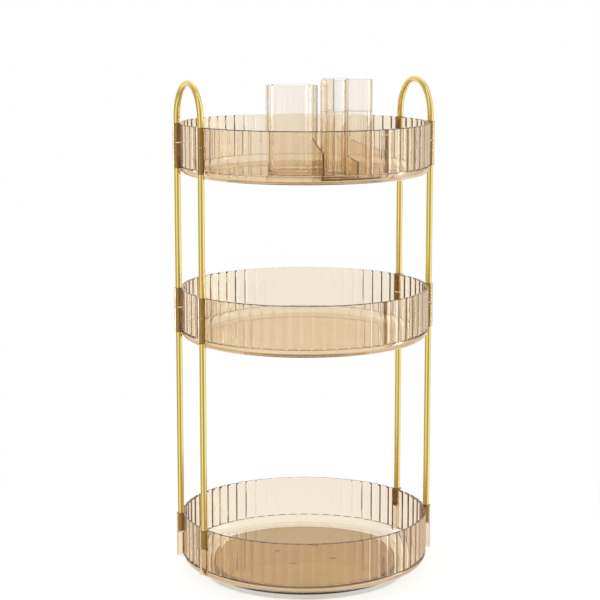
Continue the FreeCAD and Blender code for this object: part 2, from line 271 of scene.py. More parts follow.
# ------------------------------------------------------------------ floor
FLOOR_RADIUS = 0.5
FLOOR_FADE = (0.2, 0.46)            # from floor to white, in metres from the middle
FLOOR_GREY = 0.8                    # for light that the floor gives back to the pieces
FLOOR_GLOW = 0.72                   # level of the floor that is seen, in full shadow
FLOOR_SHADED = 0.3                  # how much the lamps and their shadows change it
FLOOR_BOUNCE = 0.8                  # how much a bounce inside the plastic counts on it
FLOOR_KEPT = (0.70, 0.57, 0.44)     # of the room's shades for bounced light


def floor_material():
    """A pale floor that shows the object's shadow and runs out into the white."""
    mat = bpy.data.materials.new("floor")
    tree = new_tree(mat)
    path = tree.nodes.new("ShaderNodeLightPath")
    bounces = math_node(tree, "MULTIPLY", path.outputs["Glossy Depth"], FLOOR_BOUNCE)
    found = surround(tree, bounces, FLOOR_KEPT)

    shaded = calculated(tree, "VectorMath", "SCALE", found)
    shaded.inputs["Scale"].default_value = FLOOR_SHADED
    near = tree.nodes.new("ShaderNodeAddShader")
    tree.links.new(add(tree, "BsdfDiffuse", Color=shaded.outputs["Vector"]).outputs[0], near.inputs[0])
    tree.links.new(add(tree, "Emission", Color=found, Strength=FLOOR_GLOW).outputs[0], near.inputs[1])
    far = add(tree, "Emission", Color=found).outputs[0]

    place = tree.nodes.new("ShaderNodeTexCoord").outputs["Object"]
    reach = calculated(tree, "VectorMath", "LENGTH", place).outputs["Value"]
    fade = add(tree, "MapRange", Value=reach, From_Min=FLOOR_FADE[0], From_Max=FLOOR_FADE[1])
    fade.interpolation_type = "SMOOTHSTEP"
    looked_at = mixed_shader(tree, fade.outputs[0], near.outputs[0], far)

    beyond = math_node(tree, "MAXIMUM", path.outputs["Is Glossy Ray"], path.outputs["Is Transmission Ray"])
    seen = math_node(tree, "MAXIMUM", path.outputs["Is Camera Ray"], beyond)
    grey = add(tree, "BsdfDiffuse", Color=(FLOOR_GREY, FLOOR_GREY, FLOOR_GREY, 1)).outputs[0]
    add(tree, "OutputMaterial", Surface=mixed_shader(tree, seen, grey, looked_at))
    return mat


def floor():
    bm = bmesh.new()
    bmesh.ops.create_circle(bm, cap_ends=True, segments=96, radius=FLOOR_RADIUS)
    mesh = bpy.data.meshes.new("floor")
    bm.to_mesh(mesh)
    bm.free()
    mesh.materials.append(floor_material())
    made = bpy.data.objects.new("floor", mesh)
    bpy.context.scene.collection.objects.link(made)
    made.visible_glossy = False


LIGHT_BOUNCES = 24
scene = bpy.context.scene
scene.view_settings.view_transform = "Standard"
scene.cycles.max_bounces = LIGHT_BOUNCES
scene.cycles.transmission_bounces = LIGHT_BOUNCES
scene.cycles.glossy_bounces = LIGHT_BOUNCES
scene.cycles.transparent_max_bounces = 2 * LIGHT_BOUNCES
camera()
world()
floor()
softbox("key", right=-1.1, forward=1.0, height=1.15, size=(0.7, 1.0), power=14)
softbox("fill", right=1.3, forward=0.6, height=0.8, size=(0.5, 1.0), power=8)
softbox("top", right=0.0, forward=0.0, height=1.6, size=(1.0, 1.0), power=9)
# The strips draw the highlights of the flutes, so they light the clear pieces alone.
CLEAR_PIECES = bpy.data.collections.new("clear_pieces")
softbox("right_strip", right=1.49, forward=-0.13, height=0.3, size=(0.3, 1.6), power=6, lit=CLEAR_PIECES)
softbox("left_strip", right=-1.36, forward=-0.63, height=0.3, size=(0.2, 1.6), power=3, lit=CLEAR_PIECES)


# ------------------------------------------------------------------ materials
EVEN = (1, 1, 1)
PLASTIC_IOR = 1.5


def new_material(name):
    mat = bpy.data.materials.new(name)
    tree = new_tree(mat)
    return mat, tree, tree.nodes.new("ShaderNodeTexCoord").outputs["Object"]


def noise(tree, place, scale, detail=2.0, stretch=EVEN):
    mapping = add(tree, "Mapping", Vector=place, Scale=stretch)
    return add(tree, "TexNoise", Vector=mapping.outputs[0], Scale=scale, Detail=detail).outputs["Fac"]


def blended(tree, value, first, second):
    """The first colour where a noise is low, the second where it is high."""
    return color_ramp(tree, value, ((NOISE_START, first), (NOISE_END, second)))


def bump(tree, value, depth, strength=1.0):
    """A normal from a relief whose depth is in millimetres."""
    return add(tree, "Bump", Height=value, Distance=depth * MM, Strength=strength).outputs[0]


def clear_plastic(name, tint, absorbed, shade):
    """Polished see-through moulding.

    tint is what one wall lets through, absorbed is lost on top of it per metre, and shade is what
    each surface lets through of the light that falls on other pieces.
    """
    mat, tree, place = new_material(name)
    haze = noise(tree, place, scale=55, detail=3.0)
    flow = noise(tree, place, scale=28, detail=1.0, stretch=(1, 1, 0.5))
    shader = add(tree, "BsdfPrincipled", Base_Color=(*tint, 1), IOR=PLASTIC_IOR, Transmission_Weight=1.0,
                 Roughness=between(tree, haze, lowest=0.0, highest=0.05),
                 Normal=bump(tree, flow, depth=0.12))
    lets_light = add(tree, "BsdfTransparent", Color=(*shade, 1))
    path = tree.nodes.new("ShaderNodeLightPath")
    surface = mixed_shader(tree, path.outputs["Is Shadow Ray"], shader.outputs[0], lets_light.outputs[0])
    # The loss per metre is density times one minus colour, so the density is over the largest loss.
    density = max(absorbed) * 1.25
    color = [1 - loss / density for loss in absorbed]
    inside = add(tree, "VolumeAbsorption", Density=density, Color=(*color, 1))
    add(tree, "OutputMaterial", Surface=surface, Volume=inside.outputs[0])
    return mat


def opaque(name, colors, roughness, grain, depth, cloud_grains, detail, strength, stretch=EVEN, metallic=0.0):
    """Fine marks in the gloss and the relief, and clouds, some grains wide, between two colours."""
    mat, tree, place = new_material(name)
    marks = noise(tree, place, grain, detail, stretch)
    cloud = noise(tree, place, grain / cloud_grains)
    shader = add(tree, "BsdfPrincipled", Metallic=metallic, Base_Color=blended(tree, cloud, *colors),
                 Roughness=between(tree, marks, *roughness), Normal=bump(tree, marks, depth, strength))
    add(tree, "OutputMaterial", Surface=shader.outputs[0])
    return mat


def metal(name, colors, roughness, grain, depth, stretch=EVEN):
    return opaque(name, colors, roughness, grain, depth, cloud_grains=12, detail=4.0, strength=0.5,
                  stretch=stretch, metallic=1.0)


def moulded(name, colors, roughness, grain, depth):
    """Plastic or rubber."""
    return opaque(name, colors, roughness, grain, depth, cloud_grains=40, detail=3.0, strength=0.6)


def paint_tray_shadow_above(mat, height, shade):
    """Paints the tray's shadow: darkens what lies above a height, in millimetres, where the tray stands over
    it.
    """
    blur = 0.15         # half the height of the change
    tree = mat.node_tree
    shader = next(node for node in tree.nodes if node.type == "BSDF_PRINCIPLED")
    unshaded = shader.inputs["Base Color"].links[0].from_socket
    place = tree.nodes.new("ShaderNodeTexCoord").outputs["Object"]
    level = add(tree, "SeparateXYZ", Vector=place).outputs["Z"]
    # Share of the painted shadow: none below the height, all of it above.
    under = between(tree, level, 0.0, 1.0, (height - blur) * MM, (height + blur) * MM)
    mixed = add(tree, "MixRGB", Fac=under, Color1=unshaded, Color2=(*shade, 1))
    tree.links.new(mixed.outputs[0], shader.inputs["Base Color"])


TRAY = clear_plastic("tray_plastic", tint=(0.945, 0.886, 0.787), absorbed=(10, 21, 41),
                     shade=(0.965, 0.93, 0.885))
CUP = clear_plastic("cup_plastic", tint=(0.984, 0.963, 0.935), absorbed=(4, 9, 15), shade=(0.98, 0.96, 0.94))
GOLD = metal("gold_metal", colors=((0.87, 0.71, 0.27), (0.89, 0.73, 0.29)), roughness=(0.17, 0.22),
             grain=420, depth=0.001, stretch=(1, 1, 0.06))
# Painted shade: a darker copy of the gold for the rods' ends inside the sockets.
GOLD_PAINTED_SHADE = metal("gold_metal_painted_shade", colors=((0.36, 0.27, 0.06), (0.42, 0.32, 0.08)), roughness=(0.10, 0.16),
                 grain=300, depth=0.002, stretch=(1, 1, 3))
BASE = moulded("base_plastic", colors=((0.76, 0.79, 0.83), (0.80, 0.83, 0.87)), roughness=(0.28, 0.42),
               grain=900, depth=0.02)
# Painted shadow: the dish's side is dark brown above this height, as the shade under the bottom tray.
paint_tray_shadow_above(BASE, height=5.3, shade=(0.05, 0.022, 0.005))
# Painted shade: the turning disc is a darker, tan copy of the base's plastic, for the shade that falls on it
# under the trays.
DISC_PAINTED_SHADE = moulded("disc_plastic", colors=((0.44, 0.36, 0.28), (0.48, 0.40, 0.32)), roughness=(0.28, 0.42),
               grain=900, depth=0.02)
RUBBER = moulded("foot_rubber", colors=((0.58, 0.58, 0.55), (0.64, 0.64, 0.61)), roughness=(0.7, 0.9),
                 grain=1500, depth=0.08)
RACE = metal("race_steel", colors=((0.56, 0.56, 0.57), (0.64, 0.64, 0.65)), roughness=(0.22, 0.38),
             grain=600, depth=0.02)
SCREW = metal("screw_steel", colors=((0.58, 0.58, 0.56), (0.68, 0.68, 0.65)), roughness=(0.2, 0.35),
              grain=900, depth=0.02)
BALL = metal("ball_steel", colors=((0.74, 0.74, 0.75), (0.80, 0.80, 0.81)), roughness=(0.04, 0.10),
             grain=900, depth=0.005)
CAGE = moulded("cage_plastic", colors=((0.84, 0.84, 0.80), (0.88, 0.88, 0.85)), roughness=(0.4, 0.55),
               grain=900, depth=0.03)


# ------------------------------------------------------------------ mesh helpers
CUT_MARGIN = 1.0      # how far a cutting tool passes a face
FILM = 0.04           # a piece stops this short of the one it rests on, so that light passes between
FIRST_SCREW = 45      # degrees from +X, in each ring of four screws


def polar(radius, angle, z=0.0):
    return Vector((radius * math.cos(angle), radius * math.sin(angle), z))


def spread(count, radius, start=0.0):
    """Evenly spaced centres on a circle, the first at start, in degrees."""
    return [polar(radius, math.radians(start + 360 * i / count)).to_2d() for i in range(count)]


def wrapped(angle, period=2 * math.pi):
    """The angle less whole periods, within half a period of 0."""
    return (angle + period / 2) % period - period / 2


def arc_rows(radius, z, bend, start, end, steps):
    """Profile points (radius, z) along an arc, in degrees."""
    rows = []
    for step in range(steps + 1):
        angle = math.radians(start + (end - start) * step / steps)
        rows.append((radius + bend * math.cos(angle), z + bend * math.sin(angle)))
    return rows


def skin(rings):
    """Closed surface through rings of points; a ring of one point closes an end."""
    bm = bmesh.new()
    made = [[bm.verts.new(point) for point in ring] for ring in rings]
    for first, second in zip(made, made[1:]):
        count = max(len(first), len(second))
        for i in range(count):
            j = (i + 1) % count
            if len(first) == 1:
                bm.faces.new((first[0], second[j], second[i]))
            elif len(second) == 1:
                bm.faces.new((first[i], first[j], second[0]))
            else:
                bm.faces.new((first[i], first[j], second[j], second[i]))
    bmesh.ops.recalc_face_normals(bm, faces=bm.faces)
    return bm


def slab(first, second):
    """Closed surface between two flat outlines with as many points."""
    bm = bmesh.new()
    ends = [[bm.verts.new(point) for point in outline] for outline in (first, second)]
    bm.faces.new(ends[0])
    bm.faces.new(list(reversed(ends[1])))
    for i in range(len(first)):
        j = (i + 1) % len(first)
        bm.faces.new((ends[0][j], ends[0][i], ends[1][i], ends[1][j]))
    bmesh.ops.recalc_face_normals(bm, faces=bm.faces)
    return bm


def turned(profile, columns, centre=(0, 0)):
    """Rings about an upright axis: a profile radius is a number or a function of the angle."""
    rings = []
    for radius, z in profile:
        if radius == 0:
            rings.append([Vector((centre[0], centre[1], z))])
            continue
        ring = []
        for i in range(columns):
            angle = 2 * math.pi * i / columns
            reach = radius(angle) if callable(radius) else radius
            ring.append(polar(reach, angle, z) + Vector((*centre, 0)))
        rings.append(ring)
    return skin(rings)


def to_object(bm, name, material=None):
    """Scales the shape to metres and makes it an object."""
    bmesh.ops.scale(bm, vec=(MM, MM, MM), verts=bm.verts)
    mesh = bpy.data.meshes.new(name)
    bm.to_mesh(mesh)
    bm.free()
    made = bpy.data.objects.new(name, mesh)
    bpy.context.scene.collection.objects.link(made)
    if material is not None:
        mesh.materials.append(material)
    return made


def applied(made):
    """The object with its modifiers worked into its mesh."""
    bpy.context.view_layer.update()
    done = bpy.data.meshes.new_from_object(made.evaluated_get(bpy.context.evaluated_depsgraph_get()))
    made.modifiers.clear()
    old = made.data
    made.data = done
    bpy.data.meshes.remove(old)
    return made


def smoothed(made, degrees=30):
    """Round stretches are shaded smooth, real edges stay sharp and broad faces stay flat."""
    made.data.shade_smooth()
    made.data.set_sharp_from_angle(angle=math.radians(degrees))
    step = made.modifiers.new("broad faces", "WEIGHTED_NORMAL")
    step.keep_sharp = True
    return applied(made)


def combined(body, tools, operation):
    """The body with the tools joined to it or cut from it, and the tools removed."""
    for tool in tools:
        step = body.modifiers.new("combine", "BOOLEAN")
        step.operation = operation
        step.solver = "MANIFOLD"
        step.object = tool
    applied(body)
    for tool in tools:
        bpy.data.objects.remove(tool)
    return body


def round_tool(radius, bottom, top, centre=(0, 0), columns=72):
    """A cylinder that is joined to a piece or cut from it."""
    profile = [(0, bottom), (radius, bottom), (radius, top), (0, top)]
    return to_object(turned(profile, columns, centre), "tool")


def turned_by(made, angle):
    made.data.transform(Matrix.Rotation(angle, 4, "Z"))
    return made


def raised(made, height):
    made.data.transform(Matrix.Translation((0, 0, height * MM)))
    return made


def dressed(made, node, material=None):
    """Puts a finished piece in place of its CAD node, on that node's body."""
    if material is not None:
        made.data.materials.clear()
        made.data.materials.append(material)
    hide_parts(node)
    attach(made, NODES[node]["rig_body"])
    if material in (TRAY, CUP):
        CLEAR_PIECES.objects.link(made)


# ------------------------------------------------------------------ trays
# Heights are above the underside of a tray. Where the name of a round thing stands alone, such as
# ROD or BOSS, it is a radius.
TRAY_RADIUS = 115.0             # over the crests of the flutes
TRAY_HEIGHT = 47.0
TRAY_FLOOR = 2.6
TRAY_WALL = 2.6
CORNER = 7.8                    # rounded lower edge, outside
INNER_CORNER = 5.5              # and inside
BAND_RADIUS = TRAY_RADIUS - 0.15    # smooth lower band, a little behind the crests
FLUTE_BOTTOM = CORNER + 0.4
INNER_FLUTE_BOTTOM = FLUTE_BOTTOM + 0.4
FLUTES = 64
FLUTE_DEPTH = 1.0
FLUTE_COLUMNS = 12
CAVITY = TRAY_RADIUS - FLUTE_DEPTH - TRAY_WALL      # over the ridges inside
RIM_FLARE = 1.4                 # bevel of the ridges, inside the rim
RIM_BEVEL = 0.8                 # bevel of the hollows between them
RIM_ROUND = 0.15                # outside the rim
GROOVE_DEPTH = 1.0              # where the flutes meet the smooth band
GROOVE_MOUTH = 0.5              # half its width
GROOVE_BED = 0.1                # half its width at the bottom
FLOOR_RINGS = (40, 80)          # extra rings of points on the flat floor
WALL_RINGS = (20, 34)           # and on the straight wall

ROD = 3.0
ROD_DEPTH = 17.4                # of a rod's end in the socket that carries it
BORE = ROD + 0.05
SOCKET = BORE + 1.1             # with its wall
SOCKET_TOP = TRAY_HEIGHT + 0.3
SOCKET_BOTTOM = SOCKET_TOP - 41.2
SOCKET_ROUND = 0.35
SOCKET_COLUMNS = 60
ROD_SEAT = SOCKET_TOP - ROD_DEPTH
STOP = 1.2                      # web between the ends of two rods
ROD_CIRCLE = CAVITY + 1.25 + SOCKET     # the sockets stand proud of the wall
HOOP = 32.0                     # half the spacing of a pair of rods
LEG = math.asin(HOOP / ROD_CIRCLE)
ROD_ANGLES = (LEG, math.pi - LEG, math.pi + LEG, -LEG)

# Bosses under the bottom tray, which take its screws through the turntable's disc.
BOSSES = 4
BOSS = 3.0
BOSS_FIT = 0.2
BOSS_CIRCLE = 30.0
BOSS_LENGTH = 2.5
BOSS_SCREW = 1.25
BOSS_SCREW_COVER = 1.2          # floor left above a screw's tip


def flute(crest, depth, count, inset=0.0):
    """Radius of outward-bulging flutes as a function of the angle, moved in by inset."""
    pitch = 2 * math.pi / count
    cusp = crest - depth
    across = cusp * math.cos(pitch / 2)
    middle = (cusp * cusp - crest * crest) / (2 * (across - crest))
    bend = crest - middle

    def radius(angle):
        turn = wrapped(angle, pitch)
        return middle * math.cos(turn) + math.sqrt(bend ** 2 - (middle * math.sin(turn)) ** 2) - inset
    return radius


def tray_profile():
    """Flutes outside and inside, one behind the other, so that the wall is even."""
    outside = flute(TRAY_RADIUS, FLUTE_DEPTH, FLUTES)
    inside = flute(TRAY_RADIUS - TRAY_WALL, FLUTE_DEPTH, FLUTES)
    flare_steps = 7             # one of them ends where the hollows' bevel does

    def flared(drop):
        return lambda angle: max(inside(angle), inside(angle) + RIM_BEVEL - drop, CAVITY + RIM_FLARE - drop)

    rows = [(0, 0)] + [(ring, 0) for ring in FLOOR_RINGS]
    rows += arc_rows(BAND_RADIUS - CORNER, CORNER, CORNER, -90, 0, 10)
    rows += [(BAND_RADIUS, FLUTE_BOTTOM - GROOVE_MOUTH),
             (BAND_RADIUS - GROOVE_DEPTH, FLUTE_BOTTOM - GROOVE_BED),
             (BAND_RADIUS - GROOVE_DEPTH, FLUTE_BOTTOM + GROOVE_BED),
             (outside, FLUTE_BOTTOM + GROOVE_MOUTH)]
    rows += [(outside, z) for z in WALL_RINGS]
    for out, z in arc_rows(0, TRAY_HEIGHT - RIM_ROUND, RIM_ROUND, 0, 90, 2):
        rows.append((flute(TRAY_RADIUS, FLUTE_DEPTH, FLUTES, RIM_ROUND - out), z))
    for step in range(flare_steps + 1):
        drop = RIM_FLARE * step / flare_steps
        rows.append((flared(drop), TRAY_HEIGHT - drop))
    rows += [(inside, z) for z in reversed(WALL_RINGS)]
    rows += [(inside, INNER_FLUTE_BOTTOM), (CAVITY, FLUTE_BOTTOM)]
    rows += arc_rows(CAVITY - INNER_CORNER, TRAY_FLOOR + INNER_CORNER, INNER_CORNER, 0, -90, 8)
    rows += [(ring, TRAY_FLOOR) for ring in reversed(FLOOR_RINGS)] + [(0, TRAY_FLOOR)]
    return rows


def tray(name, bosses=False):
    """One tray with its four rod sockets and its underside at z = 0, with or without the bosses."""
    made = to_object(turned(tray_profile(), FLUTES * FLUTE_COLUMNS), name)
    centres = [polar(ROD_CIRCLE, angle).to_2d() for angle in ROD_ANGLES]
    boss_centres = spread(BOSSES, BOSS_CIRCLE, FIRST_SCREW) if bosses else []
    socket = [(0, SOCKET_BOTTOM), (SOCKET, SOCKET_BOTTOM)]
    socket += arc_rows(SOCKET - SOCKET_ROUND, SOCKET_TOP - SOCKET_ROUND, SOCKET_ROUND, 0, 90, 3)
    socket += [(0, SOCKET_TOP)]
    joined = [to_object(turned(socket, SOCKET_COLUMNS, centre), "tool") for centre in centres]
    joined += [round_tool(BOSS, -BOSS_LENGTH, TRAY_FLOOR / 2, at, columns=32) for at in boss_centres]
    cuts = [round_tool(BORE, ROD_SEAT, SOCKET_TOP + CUT_MARGIN, at, SOCKET_COLUMNS) for at in centres]
    cuts += [round_tool(BORE, -CUT_MARGIN, ROD_SEAT - STOP, at, SOCKET_COLUMNS) for at in centres]
    cuts += [round_tool(BOSS_SCREW, -BOSS_LENGTH - CUT_MARGIN, TRAY_FLOOR - BOSS_SCREW_COVER, at, columns=32)
             for at in boss_centres]
    return smoothed(combined(combined(made, joined, "UNION"), cuts, "DIFFERENCE"))


middle_tray = tray("middle_tray_clear")
top_tray = middle_tray.copy()
top_tray.data = middle_tray.data.copy()
top_tray.name = "top_tray_clear"
bpy.context.scene.collection.objects.link(top_tray)
bottom_tray = tray("bottom_tray_clear", bosses=True)
under_bottom = high("bottom_tray") - SOCKET_TOP
under_middle = low("middle_tray")
under_top = low("top_tray")
dressed(raised(bottom_tray, under_bottom), "bottom_tray", TRAY)
dressed(raised(middle_tray, under_middle), "middle_tray", TRAY)
dressed(raised(top_tray, under_top), "top_tray", TRAY)


# ------------------------------------------------------------------ rods and hoops
ROD_CHAMFER = 0.4
ROD_COLUMNS = 64
ROD_RINGS = 8
HOOP_RINGS = 48


def gold(bm, node, first, second=math.inf):
    """A rod in gold, with a darker gold as painted shade where it sits in its sockets, below first and above
    second.
    """
    made = to_object(bm, node + "_gold", GOLD)
    made.data.materials.append(GOLD_PAINTED_SHADE)
    for face in made.data.polygons:
        # The ends in the sockets take the painted shade.
        face.material_index = 0 if first <= face.center.z / MM <= second else 1
    dressed(smoothed(made), node)


def gold_rod(node):
    lowest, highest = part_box(node)
    centre = ((lowest.x + highest.x) / 2 / MM, (lowest.y + highest.y) / 2 / MM)
    bottom, top = lowest.z / MM, highest.z / MM
    first = bottom + ROD_DEPTH
    second = top - (ROD_SEAT - STOP - SOCKET_BOTTOM)
    rows = [(0, bottom), (ROD - ROD_CHAMFER, bottom), (ROD, bottom + ROD_CHAMFER)]
    rows += [(ROD, first + (second - first) * i / ROD_RINGS) for i in range(ROD_RINGS)]
    rows += [(ROD, second), (ROD, top - ROD_CHAMFER), (ROD - ROD_CHAMFER, top), (0, top)]
    gold(turned(rows, ROD_COLUMNS, centre), node, first, second)


def hoop_path(x, foot, seat, spring):
    """Points of a hoop's middle line, each with its direction and the radius there."""
    leg = [(foot, 0), (foot, ROD - ROD_CHAMFER), (foot + ROD_CHAMFER, ROD), (seat, ROD), (spring, ROD)]
    path = [(Vector((x, HOOP, z)), UP, radius) for z, radius in leg]
    for step in range(1, HOOP_RINGS):
        angle = math.pi * step / HOOP_RINGS
        point = Vector((x, HOOP * math.cos(angle), spring + HOOP * math.sin(angle)))
        path.append((point, Vector((0, -math.sin(angle), math.cos(angle))), ROD))
    return path + [(Vector((x, -HOOP, z)), -UP, radius) for z, radius in reversed(leg)]


def gold_hoop(node, side):
    """The bent rod over a tray's edge: two legs and a half circle."""
    x = side * math.sqrt(ROD_CIRCLE ** 2 - HOOP ** 2)
    foot = low(node)
    seat = foot + ROD_DEPTH
    spring = high(node) - HOOP - ROD
    angles = [2 * math.pi * i / ROD_COLUMNS for i in range(ROD_COLUMNS)]
    rings = []
    for point, along, radius in hoop_path(x, foot, seat, spring):
        if radius == 0:
            rings.append([point])
            continue
        out = along.cross(X_AXIS)
        rings.append([point + X_AXIS * radius * math.cos(angle) + out * radius * math.sin(angle)
                      for angle in angles])
    gold(skin(rings), node, seat)


for index in (1, 2, 3, 4):
    gold_rod(f"lower_rod_{index}")
    gold_rod(f"upper_rod_{index}")
gold_hoop("right_hoop", 1)
gold_hoop("left_hoop", -1)


# ------------------------------------------------------------------ turntable base
DISH_RIM = 2.4
DISH_FLOOR = 2.4
DISH_EDGE = 1.0                 # rounding of the dish's outer edges
SMALL_EDGE = 0.5                # and of the other long edges
WIDE_COLUMNS = 240
PIN = 3.0
PIN_FIT = 0.05
PIN_GRIP = 2.1                  # of the pin in the turning disc
PIN_RECESS = 8.0
PIN_RECESS_DEPTH = 3.0
PIN_BOSS = PIN_RECESS + 2.5
PIN_BOSS_GAP = 0.5              # boss to turning disc
PIN_BOSS_CHAMFER = 0.3
FEET = 6
FOOT = 7.0
FOOT_INSET = 15.6               # its axis from the edge of the dish
FOOT_RECESS = 1.2
RACE_SCREWS = 4
RACE_SCREW = 1.0
RACE_SCREW_GRIP = 1.6
RACE_SCREW_CIRCLE = 53.0


def race_screw_holes(bottom, top):
    return [round_tool(RACE_SCREW, bottom, top, at, columns=24)
            for at in spread(RACE_SCREWS, RACE_SCREW_CIRCLE, FIRST_SCREW)]


def base_dish():
    """The dish that stands still, with its rounded rim and the boss that the pin turns in."""
    bottom, top, radius = low("base_disc"), high("base_disc"), high("base_disc", 0)
    inner, floor_top = radius - DISH_RIM, bottom + DISH_FLOOR
    boss_top = low("turntable_disc") - PIN_BOSS_GAP
    flat_ring = 50
    rows = [(0, bottom + PIN_RECESS_DEPTH), (PIN_RECESS, bottom + PIN_RECESS_DEPTH), (PIN_RECESS, bottom)]
    rows += [(flat_ring, bottom)]
    rows += arc_rows(radius - DISH_EDGE, bottom + DISH_EDGE, DISH_EDGE, -90, 0, 6)
    rows += arc_rows(radius - DISH_EDGE, top - DISH_EDGE, DISH_EDGE, 0, 90, 6)
    rows += arc_rows(inner + SMALL_EDGE, top - SMALL_EDGE, SMALL_EDGE, 90, 180, 3)
    rows += arc_rows(inner - SMALL_EDGE, floor_top + SMALL_EDGE, SMALL_EDGE, 0, -90, 3)
    rows += [(flat_ring, floor_top)]
    rows += arc_rows(PIN_BOSS + SMALL_EDGE, floor_top + SMALL_EDGE, SMALL_EDGE, -90, -180, 3)
    rows += [(PIN_BOSS, boss_top - PIN_BOSS_CHAMFER), (PIN_BOSS - PIN_BOSS_CHAMFER, boss_top), (0, boss_top)]
    dish = to_object(turned(rows, WIDE_COLUMNS), "base_dish")
    cuts = [round_tool(PIN + PIN_FIT, bottom, boss_top + CUT_MARGIN)]
    cuts += [round_tool(FOOT, bottom - CUT_MARGIN, bottom + FOOT_RECESS, at, columns=64)
             for at in spread(FEET, radius - FOOT_INSET)]
    cuts += race_screw_holes(floor_top - RACE_SCREW_GRIP, floor_top + CUT_MARGIN)
    return smoothed(combined(dish, cuts, "DIFFERENCE"))


def turning_plate():
    """The disc under the bottom tray that turns with it."""
    bottom, top, radius = low("turntable_disc"), high("turntable_disc") - FILM, high("turntable_disc", 0)
    flat_ring = 45
    rows = [(0, bottom), (flat_ring, bottom)]
    rows += arc_rows(radius - SMALL_EDGE, bottom + SMALL_EDGE, SMALL_EDGE, -90, 0, 3)
    rows += arc_rows(radius - SMALL_EDGE, top - SMALL_EDGE, SMALL_EDGE, 0, 90, 3)
    rows += [(flat_ring, top), (0, top)]
    plate = to_object(turned(rows, WIDE_COLUMNS), "turning_plate")
    below = bottom - CUT_MARGIN
    cuts = [round_tool(PIN, below, bottom + PIN_GRIP)]
    cuts += [round_tool(BOSS + BOSS_FIT, below, top + CUT_MARGIN, at, columns=32)
             for at in spread(BOSSES, BOSS_CIRCLE, FIRST_SCREW)]
    cuts += race_screw_holes(below, bottom + RACE_SCREW_GRIP)
    return smoothed(combined(plate, cuts, "DIFFERENCE"))


dressed(base_dish(), "base_disc", BASE)
dressed(turning_plate(), "turntable_disc", DISC_PAINTED_SHADE)

# The CAD's own shapes stay for these, with a better material.
for node, material in (("rubber_feet", RUBBER), ("lower_race", RACE), ("upper_race", RACE),
                       ("lower_race_screws", SCREW), ("upper_race_screws", SCREW), ("tray_screws", SCREW),
                       ("centre_pin", SCREW), ("pin_washer", SCREW), ("bearing_balls", BALL),
                       ("ball_cage", CAGE)):
    mesh = NODES[node].data
    mesh.materials.clear()
    mesh.materials.append(material)


# ------------------------------------------------------------------ divider insert
TOP_FLOOR = under_top + TRAY_FLOOR
INSERT_TURN = math.radians(-90 + 1.6)   # its middle, from +X
INSERT_PLATE = 1.5
INSERT_INNER = 50.0                     # inner radius of its plate and of its side fins
FIN_ANGLE = math.radians(16.2)          # a side fin's, from the middle one
FIN_THICKNESS = 1.6
FIN_EDGE = 0.3
FIN_REACH = CAVITY - 0.5
FIN_FOOT_EASE = 1.9                     # its lower corner is rounder than the tray's by this
SIDE_FIN = {"outer_drop": 19.4, "inner_drop": 9.5, "dip": 1.0}
MIDDLE_FIN = {"outer_drop": 27.6, "inner_drop": 23.6, "dip": 0.0}
FIN_TO_TREFOIL = 0.4

# The trefoil cup stands between the fins, so its plan is here too.
TREFOIL_AT = 81.0                       # its axis from the tray's
LOBE = 11.4
LOBE_DISTANCE = 14.4                    # of a lobe's axis from the cup's
HOLLOW = 1.5                            # radius of the hollow between two lobes
LOBE_ACROSS = LOBE_DISTANCE * math.sin(math.radians(60))
LOBE_ALONG = LOBE_DISTANCE * math.cos(math.radians(60))
HOLLOW_DISTANCE = LOBE_ALONG + math.sqrt((LOBE + HOLLOW) ** 2 - LOBE_ACROSS ** 2)
MIDDLE_FIN_INNER = TREFOIL_AT + HOLLOW_DISTANCE - HOLLOW + FIN_TO_TREFOIL


def fin(inner_radius, angle, outer_drop, inner_drop, dip):
    """An upright radial panel.

    The drops are the ends of its top edge, below the socket tops, and dip is how far the middle of
    that edge hangs below a straight slope.
    """
    top = under_top + SOCKET_TOP
    just_above_floor = TOP_FLOOR + 0.1
    bend = INNER_CORNER + FIN_FOOT_EASE
    crest_steps = 8
    outline = [(inner_radius, TOP_FLOOR + FILM)]
    outline += arc_rows(FIN_REACH - bend, TOP_FLOOR + bend, bend - FILM, -90, 0, 8)
    outer, inner = Vector((FIN_REACH, top - outer_drop)), Vector((inner_radius, top - inner_drop))
    sag = (outer + inner) / 2 - Vector((0, 2 * dip))
    for step in range(crest_steps + 1):
        t = step / crest_steps
        point = outer * (1 - t) ** 2 + sag * 2 * t * (1 - t) + inner * t ** 2
        outline.append((point.x, point.y))
    bm = slab(*[[(x, y, z) for x, z in outline] for y in (-FIN_THICKNESS / 2, FIN_THICKNESS / 2)])
    # All edges are rounded apart from those across the thickness and those on the tray's floor.
    rims = [edge for edge in bm.edges if abs(edge.verts[0].co.y - edge.verts[1].co.y) < 1e-6
            and max(vertex.co.z for vertex in edge.verts) > just_above_floor]
    bmesh.ops.bevel(bm, geom=rims, offset=FIN_EDGE, offset_type="OFFSET", segments=2, profile=0.5,
                    affect="EDGES")
    return turned_by(to_object(bm, "fin"), angle)


